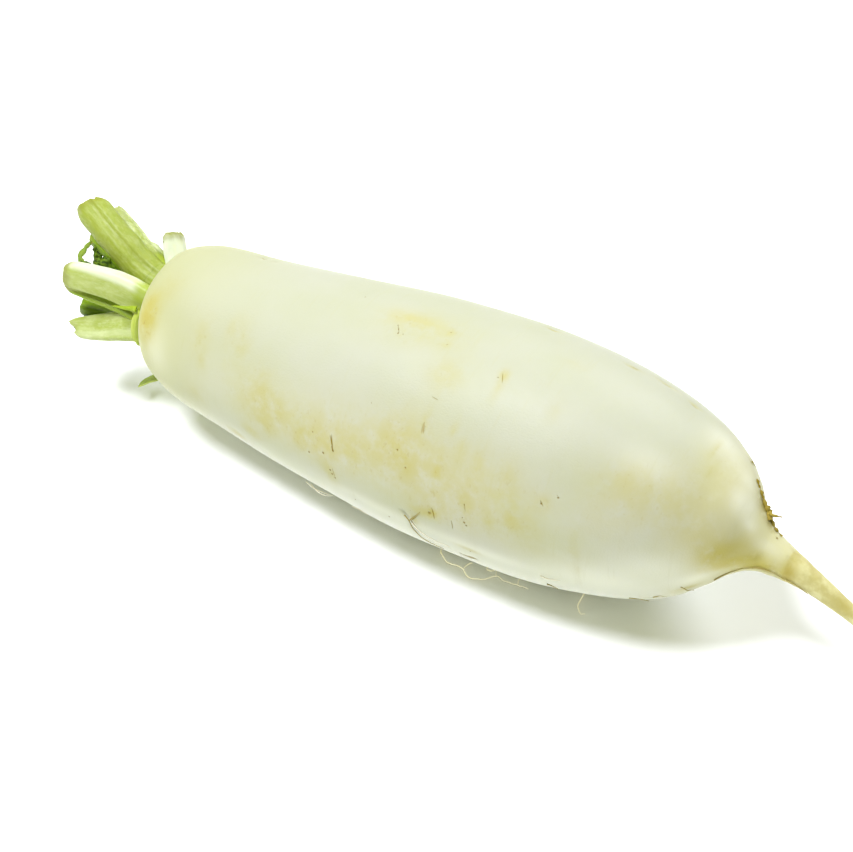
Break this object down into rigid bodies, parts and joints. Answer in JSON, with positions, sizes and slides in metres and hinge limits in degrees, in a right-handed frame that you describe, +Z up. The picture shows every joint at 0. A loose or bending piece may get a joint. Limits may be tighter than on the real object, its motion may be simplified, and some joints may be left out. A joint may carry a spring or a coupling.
{
  "type": "white radish",
  "caption": "Long white radish lying on its side: a swollen ivory root with a thin drooping tail, and the cut green leaf stalks, young leaves and torn scraps left on its crown.",
  "frame": {"origin": "on the small flat spot that the root rests on, under its centre of mass", "axes": "+X along the root from the crown towards the tail, +Z up, -Z square to the flat spot it rests on"},
  "size_m": [0.3471, 0.08, 0.0796],
  "materials": {
    "root_skin": "satin",
    "green_stalk": "satin",
    "pale_stalk": "satin",
    "leaf_green": "satin"
  },
  "bodies": {
    "root": {"root": "root_skin", "stalk_front": "green_stalk", "stalk_left": "green_stalk", "stalk_low": "pale_stalk", "stalk_right": "pale_stalk", "stalk_under": "green_stalk", "stalk_inner": "green_stalk", "stalk_far": "pale_stalk", "stalk_back": "green_stalk", "stalk_back_low": "green_stalk", "torn_tab": "green_stalk", "leaf_scrap": "leaf_green", "young_leaves": "leaf_green"}
  },
  "joints": []
}
